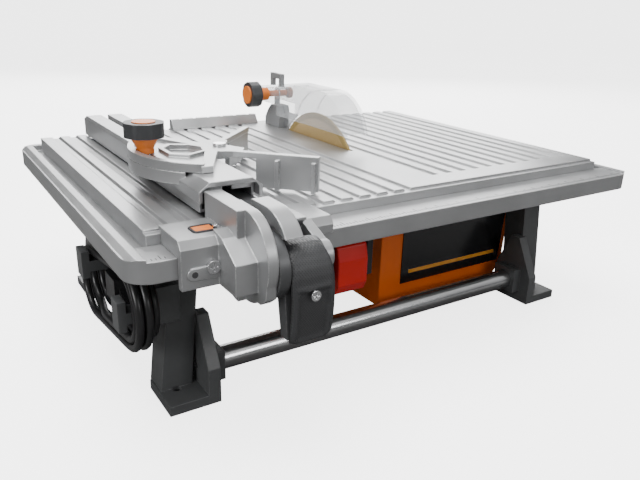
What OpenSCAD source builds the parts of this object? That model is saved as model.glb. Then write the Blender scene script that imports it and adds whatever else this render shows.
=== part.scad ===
// Tabletop wet saw: a ribbed deck on four legs, a blade over a water tank,
// a rip fence that clamps on the front rim and a mitre gauge that rides on it.
// Frame: origin at ground level, midway between the four foot bolt holes.
// +X to the right of the person sawing, +Y away from them, +Z up. Millimetres.

/* [Table] */
// Width of the table over its rims
table_w = 556; // [460:1:670]
// Depth of the table over its rims
table_d = 408; // [340:1:490]
// Height of the front rim above the bench
rim_h = 160; // [150:1:200]
// Height of the skirt below the rim
skirt_h = 16; // [12:1:24]
// Height of the ribbed deck above the front rim
deck_rise = 10; // [7:1:14]
// Depth of the flat front rim
front_rim_d = 32; // [24:1:40]
// Distance between the deck's grooves
groove_pitch = 19.05; // [15:0.05:25]
// Width of one groove
groove_w = 5; // [3:0.5:7]

/* [Legs] */
// Distance from the table's side to the foot bolt hole
foot_inset_x = 53.5; // [50:0.5:62]
// Distance from the table's front to the foot bolt hole
foot_inset_y = 71.5; // [65:0.5:80]
// Diameter of the bolt hole in each foot
foot_hole_d = 7; // [5:0.5:9]
// Thickness of the foot plate
foot_t = 9; // [6:0.5:12]
// Diameter of the rails between the legs
rail_d = 22; // [18:0.5:25]
// Height of the rails' axis above the bench
rail_z = 25; // [24:1:32]

/* [Blade and motor] */
// Diameter of the blade
blade_d = 178; // [150:1:182]
// Thickness of the blade
blade_t = 2; // [1.5:0.1:3]
// Distance of the blade to the right of the table's middle
blade_x = 35; // [20:1:60]
// Distance of the arbor behind the table's middle
arbor_y = 57; // [40:1:75]
// Drop from the deck's top to the arbor's axis
arbor_drop = 58; // [57:1:64]
// Diameter of the arbor, the hole through the blade
arbor_d = 15.88; // [12:0.01:20]
// Diameter of the blade flanges
flange_d = 48; // [36:1:60]
// Outer diameter of the motor's casing
motor_d = 74; // [66:1:78]
// Length of the motor's casing
motor_l = 104; // [90:1:112]

/* [Tank] */
// Width of the tank
tank_w = 194; // [182:1:215]
// Depth of the tank
tank_d = 290; // [260:1:310]
// Thickness of the tank's wall
tank_t = 2.5; // [2:0.1:4]

/* [Fence] */
// Distance from the table's left side to the middle of the fence
fence_inset = 96; // [94:1:130]
// Width of the fence bar
bar_w = 47; // [42:1:52]
// Height of the fence bar
bar_h = 21; // [18:1:24]
// Width of the clamp head on the front rim
head_w = 124; // [118:1:130]
// Length of the cam lever below its pivot
lever_l = 58; // [50:1:70]

/* [Mitre gauge] */
// Radius of the protractor plate
arc_r = 80; // [78:1:86]
// Reach of each wing from the pivot
wing_l = 96; // [84:1:104]
// Distance of the pivot in front of the table's middle
mitre_y = 67; // [60:1:72]
// Diameter of the mitre knob across its corners
mitre_knob_d = 36; // [32:1:42]

/* [Fits] */
// Radial clearance of a turning fit
fit = 0.05; // [0.02:0.01:0.1]
// Gap between pieces that slide or swing past each other
gap = 0.4; // [0.3:0.1:0.8]

/* [Hidden] */
$fn = 48;

silver = [0.74, 0.75, 0.76];
dark = [0.25, 0.26, 0.27];
orange = [0.93, 0.42, 0.11];
steel = [0.8, 0.81, 0.82];
black = [0.07, 0.07, 0.08];

half_w = table_w / 2;
half_d = table_d / 2;
skirt_z = rim_h - skirt_h;
corner_r = 20;
wall = 3;
floor_z = rim_h - 4;
floor_t = 2.5;
side_rim_w = 13;
gutter_w = 10;
bead_h = 2;
back_rim_d = 8;

deck_x = half_w - side_rim_w - gutter_w;
deck_front = -half_d + front_rim_d;
deck_back = half_d - back_rim_d;
deck_z = rim_h + deck_rise;
deck_t = 4;
groove_deep = 2;
ledge_d = 6;
groove_front = deck_front + 32;
groove_n = floor((deck_x - groove_w) / groove_pitch);
slot_w = 5;
slot_front = arbor_y - 72;
slot_back = arbor_y + 72;
lip_x0 = -100;
lip_x1 = blade_x - 16;
lip_h = 11;
lip_d = 14;

arbor_z = deck_z - arbor_drop;
blade_r = blade_d / 2;

foot_x = half_w - foot_inset_x;
foot_y = half_d - foot_inset_y;
rail_y = foot_y - 4.5;
rail_reach = foot_x - 38;

tank_x0 = blade_x - 17;
tank_y0 = arbor_y - 157;
tank_z0 = 16;
tank_z1 = floor_z - floor_t - 8;
tank_y1 = foot_y - 35;
tank_x2 = min(foot_x - 45, tank_x0 + tank_w);
tank_taper = 6;
drain_y = arbor_y + 23;
bulkhead_x = blade_x + 18;
tank_tabs = [[tank_x0 - 6, tank_y0 + 38], [tank_x0 - 6, tank_y0 + tank_d - 32],
    [tank_x0 + tank_w + 6, tank_y0 + 38], [tank_x2 + 6, tank_y0 + tank_d - 32]];

bar_x = -half_w + fence_inset;
bar_z = deck_z + 2;
bar_top = bar_z + bar_h;
bar_front = -half_d + 52;
arm_back = -half_d + 41;
bar_back = half_d - 13;
bar_wall = 2.2;
bar_edge = 3;

head_x0 = bar_x - head_w / 2;
head_x1 = head_x0 + head_w;
apron_y = -half_d - gap;
apron_t = 6;
nose_r = 34;
nose_y = -half_d - 14;
nose_z = bar_top - nose_r - 1;
lever_x0 = bar_x - 1;
lever_x1 = lever_x0 + 36;
slot_x0 = lever_x0 - 8;
pin_y = -half_d - 25;
pin_z = rim_h - 7;
pin_r = 4;
cam_r = 15;
sweep_r = 27.2;

pivot_x = bar_x + bar_w / 2 + 9;
saddle_t = 3;
saddle_z = bar_top + gap;
saddle_top = saddle_z + 4;
plate_z = saddle_top + gap;
plate_t = 2.5;
plate_top = plate_z + plate_t;
rim_top = plate_z + 7.2;
wing_top = plate_z + 5.2;
slot_r = arc_r - 14.5;
knob_turn = 171;
knob_x = pivot_x + slot_r * cos(knob_turn);
knob_y = -mitre_y + slot_r * sin(knob_turn);
wing_t = 5;
wing_out = 18;

guard_y = arbor_y + 101;
guard_z = deck_z + 42;

switch_x = -84;
switch_y = -half_d + 26;
switch_z = skirt_z - 32;

cord_r = 3.5;
wind_x0 = -half_w + 14;
wind_w = 22;
wind_front = [-126, 95];
wind_back = [-20, 79];
wind_r = 39;
wind_t = 14.6;
hook_x = -half_w + 6;
lead_path = [[22, 96, 122], [-12, 96, 122], [-30, 95, 125], [-50, 92, 132], [-72, 88, 140],
    [-94, 84, 145], [-116, 78, 146], [-140, 70, 146], [-164, 60, 146], [-186, 48, 143],
    [-206, 34, 138], [-222, 20, 133], [-237, 4, 129], [-247, -14, 126], [-252, -34, 122],
    [-254, -54, 118]];

// Rounded rectangle centred on the origin
module rounded(w, d, r) {
    square([w - 2 * r, d], center = true);
    square([w, d - 2 * r], center = true);
    for (i = [-1, 1], j = [-1, 1])
        translate([i * (w / 2 - r), j * (d / 2 - r)]) circle(r);
}

// Box from its lowest corner to its highest
module span(a, b) {
    translate(a) cube(b - a);
}

// Outline in Y and Z, extruded from x0 to x1
module across(x0, x1) {
    translate([x0, 0, 0]) rotate([90, 0, 90]) linear_extrude(x1 - x0) children();
}

// Outline in X and Z, extruded from y0 to y1
module along(y0, y1) {
    translate([0, y1, 0]) rotate([90, 0, 0]) linear_extrude(y1 - y0) children();
}

// Round bar along X
module rod_x(x0, x1, y, z, r) {
    translate([x0, y, z]) rotate([0, 90, 0]) cylinder(h = x1 - x0, r = r);
}

module ring_x(x0, x1, y, z, r_out, r_in) {
    translate([x0, y, z]) rotate([0, 90, 0]) difference() {
        cylinder(h = x1 - x0, r = r_out);
        translate([0, 0, -1]) cylinder(h = x1 - x0 + 2, r = r_in);
    }
}

// Pan head screw standing on a face, head up, with a cross recess
module pan_screw(r, h) {
    difference() {
        cylinder(h = h, r = r);
        translate([-r * 0.6, -0.5, h - 0.9]) cube([r * 1.2, 1, 2]);
        translate([-0.5, -r * 0.6, h - 0.9]) cube([1, r * 1.2, 2]);
    }
}

module side_rim() {
    along(-half_d, half_d) polygon([[half_w, floor_z - 1], [half_w, rim_h - 0.5],
        [half_w - 7, rim_h + bead_h], [half_w - side_rim_w, rim_h + bead_h],
        [half_w - side_rim_w, floor_z - 1]]);
}

module table_tray() {
    color(silver) difference() {
        intersection() {
            union() {
                translate([0, 0, skirt_z]) linear_extrude(skirt_h) difference() {
                    rounded(table_w, table_d, corner_r);
                    rounded(table_w - 2 * wall, table_d - 2 * wall, corner_r - wall);
                }
                translate([0, 0, floor_z - floor_t]) linear_extrude(floor_t)
                    rounded(table_w - 2, table_d - 2, corner_r - 1);
                span([-half_w, -half_d, floor_z - 1], [half_w, deck_front - gap, rim_h]);
                span([-half_w, half_d - back_rim_d + gap, floor_z - 1],
                    [half_w, half_d, rim_h + bead_h]);
                for (side = [0, 1]) mirror([side, 0, 0]) side_rim();
            }
            translate([0, 0, skirt_z]) linear_extrude(skirt_h + bead_h)
                rounded(table_w, table_d, corner_r);
        }
        span([tank_x0 + 6, arbor_y - blade_r - 8, floor_z - 10],
            [tank_x0 + tank_w - 6, arbor_y + blade_r + 8, floor_z + 10]);
        for (i = [-1, 1], j = [-1, 1])
            translate([i * (foot_x - 15), j * (foot_y - 18), floor_z - 10])
                cylinder(h = 20, r = 2.6);
    }
}

// Groove with sloping sides in the deck's top, from y0 to the back
module groove(x, y0) {
    half = groove_w / 2;
    translate([x, 0, deck_z]) along(y0, deck_back + 1) polygon([[-half, -groove_deep],
        [half, -groove_deep], [half + 3, 1], [-half - 3, 1]]);
}

module deck_panel() {
    color(silver) difference() {
        span([-deck_x, deck_front, floor_z], [deck_x, deck_back, deck_z]);
        span([-deck_x + wall, deck_front + wall, floor_z - 1],
            [deck_x - wall, deck_back - wall, deck_z - deck_t]);
        for (k = [-groove_n:-1]) groove((k + 0.5) * groove_pitch, deck_front - 1);
        for (k = [2:groove_n - 1]) groove((k + 0.5) * groove_pitch, groove_front);
        span([-half_w, deck_front - 1, deck_z - groove_deep],
            [half_w, deck_front + ledge_d, deck_z + 10]);
        span([blade_x - slot_w / 2, slot_front, floor_z],
            [blade_x + slot_w / 2, slot_back, deck_z + 1]);
        for (k = [2:groove_n - 1])
            translate([(k + 0.5) * groove_pitch, groove_front + 3, deck_z - 10])
                cylinder(h = 12, r = 1.6);
    }
}

module splash_lip() {
    color(silver) difference() {
        across(lip_x0, lip_x1) polygon([[deck_back - lip_d, deck_z], [deck_back - lip_d + 8,
            deck_z + lip_h], [deck_back, deck_z + lip_h], [deck_back, deck_z]]);
        for (k = [-groove_n:groove_n - 1])
            if ((k + 0.5) * groove_pitch > lip_x0 + 6 && (k + 0.5) * groove_pitch < lip_x1 - 6)
                translate([(k + 0.5) * groove_pitch - groove_w / 2, deck_back - 5,
                    deck_z + lip_h - 2.5]) cube([groove_w, 10, 10]);
    }
}

// Front left leg; the others are its mirror images
module leg() {
    top = skirt_z + wall;
    difference() {
        union() {
            hull() {
                translate([-foot_x - 13, -foot_y + 2, 0]) cube([27, 28, foot_t]);
                translate([-foot_x + 3, -foot_y + 2, top]) cube([24, 28, floor_z - floor_t - top]);
            }
            span([-foot_x - 15, -foot_y - 24, 0], [-foot_x + 31, -foot_y + 26, foot_t]);
            across(-foot_x + 20, -foot_x + 31) polygon([[-foot_y - 24, 0], [-foot_y - 24, 33],
                [-foot_y - 2, 76], [-foot_y + 10, 76], [-foot_y + 26, 40], [-foot_y + 26, 0]]);
            across(-foot_x + 29, -foot_x + 41.5) polygon([[-rail_y - 15, rail_z - 13],
                [-rail_y - 15, rail_z + 15], [-rail_y + 15, rail_z + 15],
                [-rail_y + 15, rail_z - 13]]);
        }
        translate([-foot_x, -foot_y, -1]) cylinder(h = foot_t + 2, d = foot_hole_d);
        rod_x(-foot_x + 38, -foot_x + 50, -rail_y, rail_z, rail_d / 2 + fit);
        rod_x(-foot_x + 19, -foot_x + 26, -rail_y, rail_z, 4);
    }
}
module leg_front_left() { color(dark) leg(); }
module leg_front_right() { color(dark) mirror([1, 0, 0]) leg(); }
module leg_rear_left() { color(dark) mirror([0, 1, 0]) leg(); }
module leg_rear_right() { color(dark) mirror([1, 0, 0]) mirror([0, 1, 0]) leg(); }

module rail(side) {
    color(steel) ring_x(-rail_reach, rail_reach, side * rail_y, rail_z, rail_d / 2, rail_d / 2 - 1.5);
}
module rail_front() { rail(-1); }
module rail_rear() { rail(1); }

module leg_screws() {
    color(steel) for (i = [-1, 1], j = [-1, 1])
        translate([i * (foot_x - 26), j * rail_y, rail_z]) rotate([0, 90 * i, 0])
            pan_screw(3.6, 2.4);
}

// Tank from its front to its right-hand back corner, in front of the rear leg
module tank_front(inset) {
    x0 = tank_x0 + inset;
    x1 = tank_x0 + tank_w - inset;
    along(tank_y0 + inset, tank_y1 - inset) polygon([[x0, tank_z0 + inset],
        [x1 - tank_taper - 14, tank_z0 + inset], [x1 - tank_taper, tank_z0 + 20],
        [x1, tank_z1 + 1], [x0, tank_z1 + 1]]);
}

// The narrower back of the tank, with a floor that steps up over the rear rail
module tank_block(inset) {
    tank_front(inset);
    for (p = [[rail_y - rail_d / 2 - 2, tank_z0], [tank_y0 + tank_d, rail_z + rail_d / 2 + 1]])
        span([tank_x0 + inset, tank_y0 + inset, p[1] + inset],
            [tank_x2 - inset, p[0] - inset, tank_z1 + 1]);
}

module water_tank() {
    color(orange) difference() {
        union() {
            difference() {
                tank_block(0);
                tank_block(tank_t);
            }
            for (p = tank_tabs) span([p[0] - 8, p[1] - 8, tank_z1 - 4],
                [p[0] + 8, p[1] + 8, floor_z - floor_t]);
        }
        difference() {
            span([0, -half_d, tank_z1], [half_w, half_d, tank_z1 + 20]);
            for (p = tank_tabs) span([p[0] - 8, p[1] - 8, 0], [p[0] + 8, p[1] + 8, 300]);
        }
        tank_block(tank_t);
        rod_x(tank_x0 - 1, tank_x0 + 10, drain_y, tank_z0 + 18, 7);
        rod_x(tank_x0 - 1, tank_x0 + 6, lead_path[0][1], lead_path[0][2], 5.5 + gap);
    }
    color(orange) difference() {
        intersection() {
            tank_block(1);
            span([bulkhead_x, tank_y0, tank_z0], [bulkhead_x + 4, tank_y0 + tank_d, tank_z1]);
        }
        rod_x(bulkhead_x - 1, bulkhead_x + 5, arbor_y, arbor_z, 19 + gap);
    }
}

module label_plate() {
    color(black) along(tank_y0 - 1.2, tank_y0) polygon([[tank_x0 + 29, tank_z0 + 21],
        [tank_x0 + tank_w - 14, tank_z0 + 21], [tank_x0 + tank_w - 8, tank_z1 - 30],
        [tank_x0 + 29, tank_z1 - 30]]);
}

module drain_plug() {
    color(black) translate([tank_x0, drain_y, tank_z0 + 18]) rotate([0, 90, 0]) {
        translate([0, 0, -5]) cylinder(h = 5, r = 10);
        cylinder(h = 6, r = 7 - gap);
    }
}

module tank_screws() {
    color(steel) for (p = tank_tabs)
        translate([p[0], p[1], tank_z1 - 4]) mirror([0, 0, 1]) pan_screw(3.4, 2.6);
}

motor_x0 = bulkhead_x + 18;

module motor_casing() {
    color(dark) difference() {
        union() {
            rod_x(motor_x0, motor_x0 + motor_l, arbor_y, arbor_z, motor_d / 2);
            rod_x(bulkhead_x + 4, motor_x0 + 1, arbor_y, arbor_z, 23);
            rod_x(bulkhead_x - 3, bulkhead_x + 5, arbor_y, arbor_z, 19);
            span([motor_x0 + 8, arbor_y - 24, tank_z0 + tank_t],
                [motor_x0 + motor_l - 8, arbor_y + 24, arbor_z - 26]);
        }
        rod_x(motor_x0 + 3, motor_x0 + motor_l - 3, arbor_y, arbor_z, motor_d / 2 - 3);
        rod_x(bulkhead_x + 1, motor_x0 + 4, arbor_y, arbor_z, 16);
        rod_x(bulkhead_x - 4, bulkhead_x + 2, arbor_y, arbor_z, 10);
        rod_x(motor_x0 + motor_l - 4, motor_x0 + motor_l + 1, arbor_y, arbor_z, 9);
        for (a = [30:60:330])
            translate([0, arbor_y, arbor_z]) rotate([a, 0, 0])
                span([motor_x0 + motor_l - 22, -3, 28], [motor_x0 + motor_l - 10, 3, 60]);
    }
}

module motor_stator() {
    color([0.55, 0.35, 0.2])
        ring_x(motor_x0 + 22, motor_x0 + 74, arbor_y, arbor_z, motor_d / 2 - 3, 23);
}

module motor_rotor() {
    color([0.6, 0.4, 0.25]) ring_x(motor_x0 + 18, motor_x0 + 78, arbor_y, arbor_z, 22, 6 + fit);
}

module arbor_shaft() {
    color(steel) {
        rod_x(blade_x - 12.5, blade_x + 13, arbor_y, arbor_z, arbor_d / 2 - fit);
        rod_x(blade_x + 12, motor_x0 + motor_l - 3.5, arbor_y, arbor_z, 6);
    }
}

// Bearings sit in the casing with a press fit and run on the shaft
module bearing_blade_side() {
    color(steel) ring_x(bulkhead_x + 4, bulkhead_x + 14, arbor_y, arbor_z, 16, 6 + fit);
}
module bearing_far_side() {
    color(steel) {
        ring_x(motor_x0 + motor_l - 14, motor_x0 + motor_l - 3, arbor_y, arbor_z, 13, 6 + fit);
        for (a = [0:120:240]) translate([0, arbor_y, arbor_z]) rotate([a + 22.5, 0, 0])
            span([motor_x0 + motor_l - 6, -2, 12], [motor_x0 + motor_l - 3, 2, motor_d / 2 - 3.05]);
    }
}

module cooling_fan() {
    color(black) {
        ring_x(motor_x0 + 80, motor_x0 + 86, arbor_y, arbor_z, 14, 5.9);
        for (a = [0:40:320]) translate([0, arbor_y, arbor_z]) rotate([a, 0, 0])
            span([motor_x0 + 80, -1, 12], [motor_x0 + 86, 1, 30]);
    }
}

module flange_inner() {
    color(steel) ring_x(blade_x + blade_t / 2, blade_x + blade_t / 2 + 5, arbor_y, arbor_z,
        flange_d / 2, arbor_d / 2 - fit - 0.1);
}
module flange_outer() {
    color(steel) ring_x(blade_x - blade_t / 2 - 5, blade_x - blade_t / 2, arbor_y, arbor_z,
        flange_d / 2, arbor_d / 2 - fit - 0.1);
}

module arbor_nut() {
    color(steel) difference() {
        translate([blade_x - blade_t / 2 - 12, arbor_y, arbor_z]) rotate([0, 90, 0])
            cylinder(h = 7, r = 13, $fn = 6);
        rod_x(blade_x - 30, blade_x, arbor_y, arbor_z, arbor_d / 2 - fit - 0.1);
    }
}

module blade() {
    color([0.78, 0.6, 0.28]) ring_x(blade_x - blade_t / 2, blade_x + blade_t / 2, arbor_y, arbor_z,
        blade_r, arbor_d / 2 - fit - 0.1);
}

// Curved plate behind the blade that carries the guard
module riving_knife() {
    color(steel) across(blade_x - 0.9, blade_x + 0.9) difference() {
        union() {
            translate([arbor_y, arbor_z]) intersection() {
                circle(blade_r + 22, $fn = 96);
                translate([30, 10]) square([90, 70]);
            }
            translate([guard_y - 6, deck_z - 20]) square([12, guard_z - deck_z + 20]);
            translate([guard_y, guard_z]) circle(6.6);
        }
        translate([arbor_y, arbor_z]) circle(blade_r + 3, $fn = 96);
        translate([slot_back - 2, 0]) square([60, deck_z + gap]);
        translate([guard_y, guard_z]) circle(4 + gap);
    }
}

module guard_bracket() {
    color([0.55, 0.56, 0.57]) for (x = [blade_x - 8, blade_x + 0.9])
        across(x, x + 7.1) translate([guard_y, deck_z]) polygon([[-18, 0], [-21, 14], [-16, 28],
            [2, 28], [9, 22], [13, 17], [18, 10], [18, 0]]);
}

// Side outline of the guard; grow sets how far outside the hollow it stands
module guard_outline(grow) {
    nose_r = 56 + grow;
    front = arbor_y - 82 - grow;
    intersection() {
        union() {
            translate([front + nose_r, deck_z + 61 - 56]) circle(nose_r, $fn = 96);
            polygon([[front + nose_r, deck_z + 10], [front + nose_r, deck_z + 61 + grow],
                [arbor_y + 46, deck_z + 61 + grow], [guard_y + 24 + grow, deck_z + 50 + grow],
                [guard_y + 24 + grow, deck_z + 10]]);
        }
        translate([front, deck_z + 18]) square([guard_y + 24 + grow - front, 80]);
    }
}

module guard_shell() {
    color([0.82, 0.84, 0.86, 0.4]) difference() {
        across(blade_x - 15, blade_x + 15) guard_outline(0);
        across(blade_x - 12.5, blade_x + 12.5) difference() {
            guard_outline(-2.5);
            translate([guard_y - 18, guard_z + 7]) square([60, 40]);
        }
        span([blade_x - 12.5, arbor_y - 200, deck_z], [blade_x + 12.5, guard_y - 20, deck_z + 20]);
        span([blade_x - 12.5, guard_y - 24, deck_z], [blade_x + 12.5, guard_y + 60, deck_z + 37]);
        span([blade_x - 20, guard_y - 24, deck_z - 1], [blade_x + 20, guard_y + 60, deck_z + 31]);
        rod_x(blade_x - 20, blade_x + 20, guard_y, guard_z, 4 + fit);
    }
}

module guard_hanger() {
    color(dark) across(blade_x - 2.5, blade_x + 2.5) difference() {
        translate([guard_y - 14, guard_z + 9.5]) square([28, 16]);
        translate([guard_y - 8, guard_z + 8]) square([16, 11]);
    }
}

module octagon_grip(r, h) {
    difference() {
        cylinder(h = h, r = r, $fn = 8);
        difference() {
            translate([0, 0, -1]) cylinder(h = h + 2, r = r + 5);
            translate([0, 0, -1]) cylinder(h = h + 2, r = r * 0.96, $fn = 48);
        }
    }
}

module guard_knob() {
    color(dark) translate([blade_x - 29, guard_y, guard_z]) rotate([0, -90, 0])
        octagon_grip(16.5, 14);
}
module guard_knob_core() {
    color(orange) {
        rod_x(blade_x - 45, blade_x - 43, guard_y, guard_z, 11);
        rod_x(blade_x - 29, blade_x - 15 - gap, guard_y, guard_z, 8);
        rod_x(blade_x - 16, blade_x + 19, guard_y, guard_z, 4);
        rod_x(blade_x + 15 + gap, blade_x + 20, guard_y, guard_z, 7);
    }
}

module switch_box() {
    color(black) difference() {
        span([switch_x - 24, switch_y + 6, switch_z - 18],
            [switch_x + 24, switch_y + 46, floor_z - floor_t]);
        span([switch_x - 17, switch_y - 1, switch_z - 14],
            [switch_x + 17, switch_y + 14, switch_z + 20]);
        span([switch_x - 7 - gap, switch_y + 10, switch_z - 4 - gap],
            [switch_x + 7 + gap, switch_y + 30, switch_z + 10 + gap]);
    }
    color(dark) for (i = [-1, 1]) difference() {
        span([switch_x + i * 20 - 3, switch_y - 8, switch_z - 8],
            [switch_x + i * 20 + 3, switch_y + 7, switch_z + 30]);
        rod_x(switch_x - 30, switch_x + 30, switch_y, switch_z + 20, 2.5 + fit);
    }
}

module switch_button() {
    color([0.15, 0.45, 0.2]) span([switch_x - 7, switch_y + 8, switch_z - 4],
        [switch_x + 7, switch_y + 24, switch_z + 10]);
}

module switch_pin() {
    color(steel) rod_x(switch_x - 23, switch_x + 23, switch_y, switch_z + 20, 2.5);
}

// The paddle swings up on its pin to reach the start button and is slapped down to stop
module switch_paddle() {
    color([0.8, 0.1, 0.09]) difference() {
        across(switch_x - 15, switch_x + 15) polygon([[switch_y - 9, switch_z + 22],
            [switch_y - 12, switch_z + 10], [switch_y - 12, switch_z - 12],
            [switch_y - 8, switch_z - 20], [switch_y - 3, switch_z - 20],
            [switch_y - 3, switch_z + 14], [switch_y + 4, switch_z + 16],
            [switch_y + 4, switch_z + 24], [switch_y - 4, switch_z + 26]]);
        rod_x(switch_x - 30, switch_x + 30, switch_y, switch_z + 20, 2.5 + fit);
    }
}

// Outline of the bar with its two top edges cut off; grow widens it on every side
module bar_outline(grow) {
    x0 = bar_x - bar_w / 2 - grow;
    x1 = bar_x + bar_w / 2 + grow;
    polygon([[x0, bar_z - grow], [x0, bar_top - bar_edge], [x0 + bar_edge, bar_top + grow],
        [x1 - bar_edge, bar_top + grow], [x1, bar_top - bar_edge], [x1, bar_z - grow]]);
}

module fence_bar() {
    x0 = bar_x - bar_w / 2;
    color(silver) along(bar_front, bar_back) difference() {
        bar_outline(0);
        translate([x0 + bar_wall, bar_z + bar_wall])
            square([bar_w - 2 * bar_wall, bar_h - 8]);
        translate([bar_x - 4, bar_top - 7]) square([8, 10]);
    }
}

module fence_pads() {
    color(black) for (y = [bar_front + 12, bar_front + 86, bar_back - 66, bar_back - 10])
        span([bar_x - bar_w / 2 + 1, y - 5, deck_z + 0.2], [bar_x + bar_w / 2 - 1, y + 5, bar_z]);
}

// Side view of the head's rib: over the bar's end, over the rim and down to the nose
module head_profile() {
    translate([nose_y, nose_z]) circle(nose_r, $fn = 72);
    translate([nose_y, nose_z]) square([arm_back - nose_y, nose_r]);
    polygon([[nose_y - nose_r + 0.5, nose_z + 2], [nose_y - nose_r + 4, rim_h - 25],
        [nose_y - nose_r + 12, rim_h - 31], [nose_y - 3, rim_h - 31],
        [apron_y, rim_h - 24], [apron_y, nose_z + 2]]);
}

// Side view of the plate that lies on the rim and hangs down in front of it
module head_plate() {
    polygon([[apron_y - apron_t, rim_h - 23], [apron_y, rim_h - 23], [apron_y, rim_h + gap],
        [deck_front - gap, rim_h + gap], [deck_front - gap, deck_z + gap],
        [deck_front + 4, deck_z + gap], [deck_front + 4, deck_z + 3],
        [-half_d - 2, deck_z + 3], [apron_y - apron_t, rim_h + 7]]);
}

module fence_head() {
    color(silver) difference() {
        union() {
            across(slot_x0 - 8, slot_x0) head_profile();
            across(bar_x - bar_w / 2, slot_x0 - 7) intersection() {
                head_profile();
                translate([-half_d - 14, 0]) square([200, bar_top]);
            }
            across(head_x0 + 28, slot_x0 - 7) polygon([[apron_y, rim_h - 23],
                [nose_y - 19, rim_h - 23], [nose_y - 19, rim_h], [nose_y + 2, rim_h + 13],
                [-half_d + 2, rim_h + 16], [-half_d + 2, rim_h]]);
            across(slot_x0 - 1, lever_x1) polygon([[apron_y - 10, rim_h], [apron_y - 10, deck_z + 8],
                [arm_back, deck_z + 8], [arm_back, rim_h]]);
            across(lever_x0, lever_x0 + 14) intersection() {
                head_profile();
                translate([nose_y - nose_r, deck_z + 5]) square([56, 40]);
            }
            across(head_x0, slot_x0) head_plate();
            across(slot_x0 - 1, head_x1) intersection() {
                head_plate();
                translate([-half_d - 20, rim_h]) square([100, 40]);
            }
            rod_x(lever_x1 + gap, lever_x1 + 9, pin_y, pin_z, 11);
            across(lever_x1 + gap, lever_x1 + 9) polygon([[pin_y, pin_z - 8], [pin_y - 4, pin_z + 9],
                [apron_y - 1, deck_z + 3], [-half_d + 4, deck_z + 3], [apron_y, rim_h - 20]]);
        }
        span([head_x0 - 1, apron_y, 0], [head_x1 + 1, half_d, rim_h + gap]);
        span([head_x0 - 1, deck_front - gap, 0], [head_x1 + 1, half_d, deck_z + gap]);
        rod_x(slot_x0, lever_x1 + gap, pin_y, pin_z, sweep_r);
        span([lever_x0 - 1, pin_y - 40, 0], [lever_x1 + gap, pin_y - 8, pin_z + 23]);
        rod_x(slot_x0 - 10, lever_x1 + 20, pin_y, pin_z, pin_r + fit);
        translate([head_x0 + 18, -half_d - 20, rim_h - 10]) rotate([-90, 0, 0])
            cylinder(h = 30, r = 3);
        span([bar_x - 45, -half_d + 8, deck_z + 1], [bar_x - 29, -half_d + 20, deck_z + 10]);
        span([slot_x0 - 1, arm_back - 32, deck_z + 6.5],
            [bar_x + bar_w / 2 - 2, arm_back + 1, bar_top + 1]);
    }
}

// Plate that ties the head to the bar's hollow
module fence_tongue() {
    z0 = deck_z + 6.5;
    x1 = bar_x + bar_w / 2 - bar_wall - 1;
    color(dark) difference() {
        union() {
            span([slot_x0, arm_back - 31, z0], [x1, bar_front + 60, z0 + 4.5]);
            span([slot_x0, bar_front + 6, bar_z + bar_wall], [x1, bar_front + 60, z0 + 1]);
        }
        translate([bar_x + 3, arm_back - 12, z0 - 1]) cylinder(h = 7, r = 3);
    }
}

module fence_pointer() {
    color(orange) across(bar_x - 44, bar_x - 30) polygon([[-half_d + 9, deck_z + 1],
        [-half_d + 19, deck_z + 1], [-half_d + 19, deck_z + 3.6], [-half_d + 12, deck_z + 3.6]]);
}

module fence_screws() {
    color(steel) {
        translate([bar_x - 39, apron_y - apron_t, rim_h - 8]) rotate([90, 0, 0]) pan_screw(5, 3.2);
        translate([bar_x - 27, -half_d + 14, deck_z + 3]) pan_screw(2.6, 1.6);
    }
}

module lever_pin() {
    color(steel) rod_x(slot_x0 - 7, lever_x1 + 8, pin_y, pin_z, pin_r);
}

// Cam round the pin, with the arm that carries the grip
module lever_handle() {
    color([0.16, 0.16, 0.17]) difference() {
        union() {
            rod_x(lever_x0 + gap, lever_x1 - gap, pin_y, pin_z, cam_r);
            rod_x(slot_x0 + gap, lever_x0 + 1, pin_y, pin_z, sweep_r - 3);
            across(lever_x0 + gap, lever_x1 - gap) polygon([[pin_y - cam_r + 0.5, pin_z + 4],
                [pin_y - cam_r - 5, pin_z - lever_l + 6], [pin_y - cam_r + 4, pin_z - lever_l + 6],
                [pin_y - 4, pin_z - 13]]);
        }
        rod_x(slot_x0 - 1, lever_x1 + 1, pin_y, pin_z, pin_r + fit);
    }
}

module lever_grip() {
    color(dark) across(lever_x0 + 1, lever_x1 - gap) translate([pin_y, pin_z]) difference() {
        polygon([[-2, 17], [-10, 16.5], [-18, 12], [-24, 4], [-26, -6], [-26.5, -20],
            [-24.5, -lever_l + 4], [-19, -lever_l], [-10, -lever_l], [-11, -lever_l + 6],
            [-20, -lever_l + 6], [-cam_r + 0.5, 4], [-2, 4]]);
        circle(cam_r);
    }
}

module lever_screw() {
    color(steel) translate([lever_x0 + 19, pin_y - 26.5, pin_z - 18]) rotate([90, 0, 0])
        pan_screw(4, 2);
}

module fan(r, a0, a1) {
    polygon(concat([[0, 0]], [for (a = [a0:5:a1]) 2 * r * [cos(a), sin(a)]]));
}

// Left part of the protractor's round outline
module lobe(r, turn, right) {
    intersection() {
        circle(r, $fn = 120);
        fan(r, turn, 360 - turn);
        translate([-2 * r, -2 * r]) square([2 * r + right, 4 * r]);
    }
}

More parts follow.
